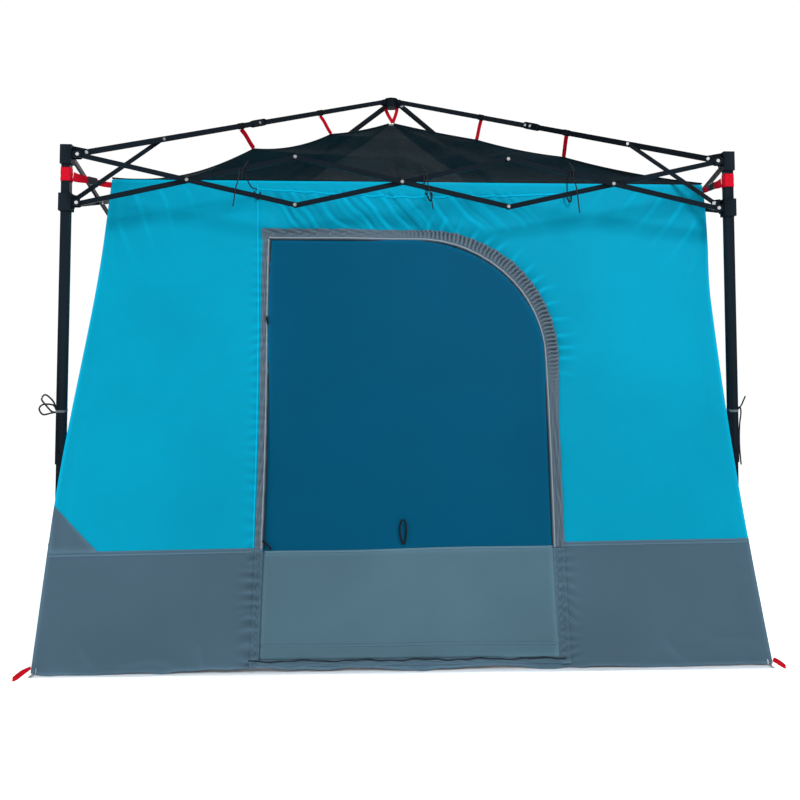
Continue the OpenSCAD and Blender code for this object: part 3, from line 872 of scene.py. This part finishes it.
def roof_piece(corner, part, t0, t1):
    body = f"{part}_rafter_{corner}"
    sx, sy = CORNERS[corner]
    q, t = np.meshgrid(np.linspace(-1, 1, 65), np.linspace(t0, t1, 36))
    nets = (NET if sy < 0 else NET_REAR_LIT, NET_SIDE)
    piece = grid(f"roof_net_{part}_{corner}", roof_point(corner, t, q), nets, body, thick=0.0008)
    centre = np.array([p.center[:] for p in piece.data.polygons])
    side = np.abs(centre[:, 0]) / EAVE_W > np.abs(centre[:, 1]) / EAVE_D
    piece.data.polygons.foreach_set("material_index", side.astype(np.int32))
    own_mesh(piece)
    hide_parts("mesh_roof")
    # piping over the hip
    line = tent_pull(hip(corner, np.linspace(t0, t1, 44))) + 0.002 * UP
    tube(f"roof_piping_{part}_{corner}", line, 0.0028, PIPING, body, sides=8)


for corner in CORNERS:
    roof_piece(corner, "upper", 0.012, ELBOW_T)
    roof_piece(corner, "lower", ELBOW_T, 1.0)

# ---- groundsheet

RIM = 0.030              # the height of the tub's rim, behind the skirt


def floor_steps(half):
    """Places across the groundsheet, close together in its rim."""
    rim = RIM * np.linspace(0, 1, 7)
    return np.concatenate([-half + rim, np.linspace(-1, 1, 150)[1:-1] * (half - RIM), half - rim[::-1]])


gx, gy = np.meshgrid(floor_steps(FOOT_W), floor_steps(FOOT_D))
rise_x = np.clip(np.abs(gx) - (FOOT_W - RIM), 0, RIM)
rise_y = np.clip(np.abs(gy) - (FOOT_D - RIM), 0, RIM)
rise = np.maximum(rise_x, rise_y)
bow = 0.004 * noise(gx + gy, gx - gy, 0.17, 96) + 0.002 * noise(gx + gy, gx - gy, 0.06, 97)
from_rim = np.minimum(FOOT_W - np.abs(gx), FOOT_D - np.abs(gy))
gz = 0.0024 + 0.0018 * (1 + noise(gx, gy, 0.35, 95)) * smooth(0, 0.10, from_rim - RIM) + rise
upright = smooth(0.004, 0.016, rise)
spill = 0.009 * (1 - smooth(0.0, 0.012, rise)) + bow * (1 - upright) - 0.016 * upright


def rim_place(along, half, up, slope):
    """The rim lies inside the wall's slope, and spills a little way out under the skirt."""
    flat = np.minimum(np.abs(along), half - RIM) * half / (half - RIM)
    return np.sign(along) * (flat + (spill - slope * up) * (up > 0))


tub = np.stack([rim_place(gx, FOOT_W, rise_x, (FOOT_W - EAVE_W) / EAVE_Z),
                rim_place(gy, FOOT_D, rise_y, (FOOT_D - EAVE_D) / EAVE_Z), gz], -1)
ground = grid("groundsheet_cloth", tub, GROUND, "outer_leg_front_left")
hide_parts("groundsheet")
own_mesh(ground)

# ---- straps

# how far from the middle each corner's lower and upper hangers hold the rafter
REACH = {"front_left": (0.680, 0.340), "front_right": (0.742, 0.402), "rear_left": (0.700, 0.360),
         "rear_right": (0.720, 0.380)}
HUB_PIN_Z = 2.385
RAFTER_RISE = math.atan2(HUB_PIN_Z - RAFTER_PIN_Z, LEG * math.sqrt(2) - 0.120)
BAND_OFF = 0.0155       # of an upper hanger's band from the rafter's line


def rafter_point(corner, reach):
    """A point on a rafter's line whose X and Y are that far from the middle."""
    sx, sy = CORNERS[corner]
    along = RAFTER_PIN - reach * math.sqrt(2)
    z = RAFTER_PIN_Z + along * math.tan(RAFTER_RISE)
    return np.array([sx * reach, sy * reach, z])


def hanger(corner, part, reach, t):
    """A red strap from a band round the rafter down to the hip of the roof."""
    sx, sy = CORNERS[corner]
    inward = np.array([-sx, -sy, 0]) / math.sqrt(2)
    left = np.array([-inward[1], inward[0], 0])
    off = {"front_right": -BAND_OFF}.get(corner, BAND_OFF) if part == "upper" else 0.0
    top = rafter_point(corner, reach) + left * off
    foot = tent_pull(hip(corner, t)) + 0.004 * UP
    body = f"{part}_rafter_{corner}"
    along = inward * math.cos(RAFTER_RISE) + UP * math.sin(RAFTER_RISE)
    over = np.cross(along, left)
    half_w, half_h = 0.0085, 0.0125
    shape = squared_ring(29, 0.45) * (half_w, half_h)
    rings = [top + along * s + left[None] * shape[:, :1] + over[None] * shape[:, 1:]
             for s in np.linspace(-0.013, 0.013, 6)]
    grid(f"hanger_band_{part}_{corner}", np.array(rings), BLACK, body, thick=0.0016)
    start = top - UP * (half_h + 0.001)
    path = spline([start, start * 0.66 + foot * 0.34 + 0.004 * UP, start * 0.3 + foot * 0.7, foot], 22)
    webbing(f"hanger_strap_{part}_{corner}", path, 0.020, along, RED, body)


for corner in CORNERS:
    t1, t2 = HANGERS[corner][0]
    hanger(corner, "lower", REACH[corner][0], t2)
    hanger(corner, "upper", REACH[corner][1], t1)

peak = np.array([0.008, 0.006, PEAK_Z + 0.004])
for side, label in ((-1, "left"), (1, "right")):
    start = np.array([side * 0.030, -0.006 * side, 2.362])
    path = spline([start, start * 0.6 + peak * 0.4 + np.array([side * 0.003, 0, 0]), peak], 16)
    webbing(f"peak_strap_{label}", path, 0.017, (1, 0, 0), RED, "hub")


STRAP_Z = 1.712
RING = 41               # points round a leg


def round_leg(corner, x, y, z):
    """Points round a leg, given by how far each is from the leg's middle and by its height."""
    sx, sy = CORNERS[corner]
    return np.stack(np.broadcast_arrays(sx * LEG + x, sy * LEG + y, z), -1)


def leg_strap(corner):
    """A red band round the leg, a black buckle and a red end to the tent's corner."""
    sx, sy = CORNERS[corner]
    body = f"outer_leg_{corner}"
    x, y = (squared_ring(RING, 0.35) * 0.0182).T
    z = np.linspace(1.690, 1.740, 12)[:, None]
    points = round_leg(corner, x * (1 + 0.02 * np.sin(z * 260)), y * (1 + 0.02 * np.sin(z * 260 + 1)), z)
    grid(f"leg_band_{corner}", points, RED, body, thick=0.0022)
    tip = tent_pull(np.array([sx * EAVE_W, sy * EAVE_D, STRAP_Z]))
    start = np.array([sx * LEG, sy * LEG, 0.0]) + np.array([-sx * 0.020, -sy * 0.014, STRAP_Z])
    mid = start * 0.52 + tip * 0.48
    first = spline([start, start * 0.75 + mid * 0.25 - 0.002 * UP, mid], 14)
    last = spline([mid, mid * 0.5 + tip * 0.5 - 0.003 * UP, tip], 14)
    taper = np.linspace(0.036, 0.022, len(first))[:, None]
    webbing(f"corner_strap_{corner}", first, taper, UP, RED, body)
    webbing(f"corner_strap_end_{corner}", last, 0.022, UP, RED, body)
    along = (tip - start) / np.linalg.norm(tip - start)
    up = UP - along[2] * along
    up /= np.linalg.norm(up)
    axes = [along, up, np.cross(along, up)]
    rounded_box(f"corner_buckle_{corner}", mid, (0.044, 0.028, 0.010), axes, BUCKLE, body,
                0.004)


for corner in CORNERS:
    leg_strap(corner)


# ---- ties and peg loops

def tie_cord(label, points, body, radius, count, wall=None):
    """A limp cord through the points, with a mesh of its own if it hangs on a wall."""
    path = spline(points, count)
    piece = tube(label, path, radius, TIE, body, sides=8)
    if wall:
        fold_with(piece, wall)


LEG_TIE_Z = 0.840
LOOP_RADIUS, TAIL_RADIUS, EAVE_RADIUS = 0.0032, 0.0028, 0.0024
TAIL = [(0.0195, 0.004, 0.000), (0.030, 0.004, 0.012), (0.033, 0.002, -0.010), (0.026, 0.000, -0.060),
        (0.024, 0.000, -0.130), (0.028, -0.002, -0.205)]
STUB = [(0.0195, -0.008, 0.004), (0.030, -0.010, 0.018), (0.038, -0.012, 0.036), (0.046, -0.010, 0.052)]


def bow_loop(drop, reach):
    """An open loop beside a leg, as places out from the leg, along it and up."""
    return [(-0.0195, 0.004, 0.000), (-0.034, 0.006, 0.014 + drop * 0.4), (-reach, 0.006, 0.006 + drop),
            (-reach - 0.012, 0.002, drop - 0.010), (-reach + 0.004, -0.004, drop - 0.030),
            (-0.036, -0.006, drop * 0.2 - 0.012), (-0.0195, -0.010, -0.006)]


for corner, (sx, sy) in CORNERS.items():
    body = f"outer_leg_{corner}"
    turn = np.linspace(0, 2 * math.pi, RING)
    x, y = (squared_ring(RING, 0.35) * 0.0178).T
    z = LEG_TIE_Z + np.linspace(-0.0045, 0.0045, 5)[:, None] + 0.003 * np.sin(turn)
    grid(f"leg_tie_{corner}", round_leg(corner, x, y, z), CORD_GREY, body, thick=0.0014)
    leg = np.array([sx * LEG, sy * LEG, LEG_TIE_Z])
    beside = lambda places: [leg + np.array([out, along * -sy, up]) for out, along, up in places]
    if sx < 0:
        for k, loop in enumerate((bow_loop(0.052, 0.062), bow_loop(0.016, 0.070))):
            tie_cord(f"leg_tie_loop_{k + 1}_{corner}", beside(loop), body, LOOP_RADIUS, 70)
    else:
        tie_cord(f"leg_tie_tail_{corner}", beside(TAIL), body, TAIL_RADIUS, 70)
        tie_cord(f"leg_tie_stub_{corner}", beside(STUB), body, TAIL_RADIUS, 40)


def eave_tie(label, a, bar_x, bar_z, tail, aside):
    """A cord sewn to the eave seam that goes round a truss bar and hangs down from its knot."""
    root = on_wall(FRONT, a, EAVE_SEAM, 0.004)
    bar = np.array([bar_x, -LEG, bar_z])
    coil, steps, half_turns = 0.017, 14, 3
    turns = []
    for k in range(steps + 1):
        t = math.pi * k / steps * half_turns
        turns.append(bar + np.array([aside * 0.0012 * k - 0.008, math.cos(t) * coil, math.sin(t) * coil]))
    start = root * 0.5 + turns[0] * 0.5 - 0.018 * UP
    end = [turns[-1] + np.array([aside * x, y, z])
           for x, y, z in ((0.003, -0.001, -0.024), (0.012, -0.003, -0.060), (0.022, -0.004, -tail))]
    tie_cord(label, [root, start] + turns + end, WALL_BODY[FRONT], EAVE_RADIUS, 170, wall=FRONT)
    stub = [bar + np.array([aside * x, y, z])
            for x, y, z in ((0.012, -0.0185, 0.012), (0.002, -0.028, 0.024), (-0.010, -0.030, 0.040))]
    tie_cord(label + "_stub", stub, WALL_BODY[FRONT], EAVE_RADIUS, 30, wall=FRONT)
    loop = [(a - 0.012, 1.782, 0.003), (a - 0.006, 1.760, 0.014), (a + 0.004, 1.735, 0.016),
            (a + 0.012, 1.758, 0.012), (a + 0.012, 1.782, 0.003)]
    front_tape(label + "_loop", loop, 0.006, WALL_BODY[FRONT], 26)


eave_tie("eave_tie_left", -0.560, -0.585, 1.727, 0.130, -1)
eave_tie("eave_tie_middle", 0.110, 0.085, 1.712, 0.120, 1)
eave_tie("eave_tie_right", 0.660, 0.640, 1.734, 0.150, 1)

# red loops that the pegs go through, as places out from the tent's foot, along it and up
PEG_LOOP = [(0.0, -0.004, 0.004), (0.022, -0.010, -0.004), (0.045, -0.008, -0.016), (0.054, 0.000, -0.021),
            (0.045, 0.009, -0.016), (0.022, 0.010, -0.002), (0.0, 0.004, 0.008)]
for corner, (sx, sy) in CORNERS.items():
    wall = FRONT if sy < 0 else REAR
    base = tent_pull(np.array([sx * FOOT_W, sy * FOOT_D, 0.030]))
    outward = np.array([sx * 0.8, sy * 0.6, 0])
    side = np.array([-outward[1], outward[0], 0])
    size = 1.0 if sx < 0 else 0.72
    line = spline([base + (outward * p + side * q + UP * r) * size for p, q, r in PEG_LOOP], 40)
    fold_with(webbing(f"peg_loop_{corner}", line, 0.010, UP, RED, WALL_BODY[wall]), wall)
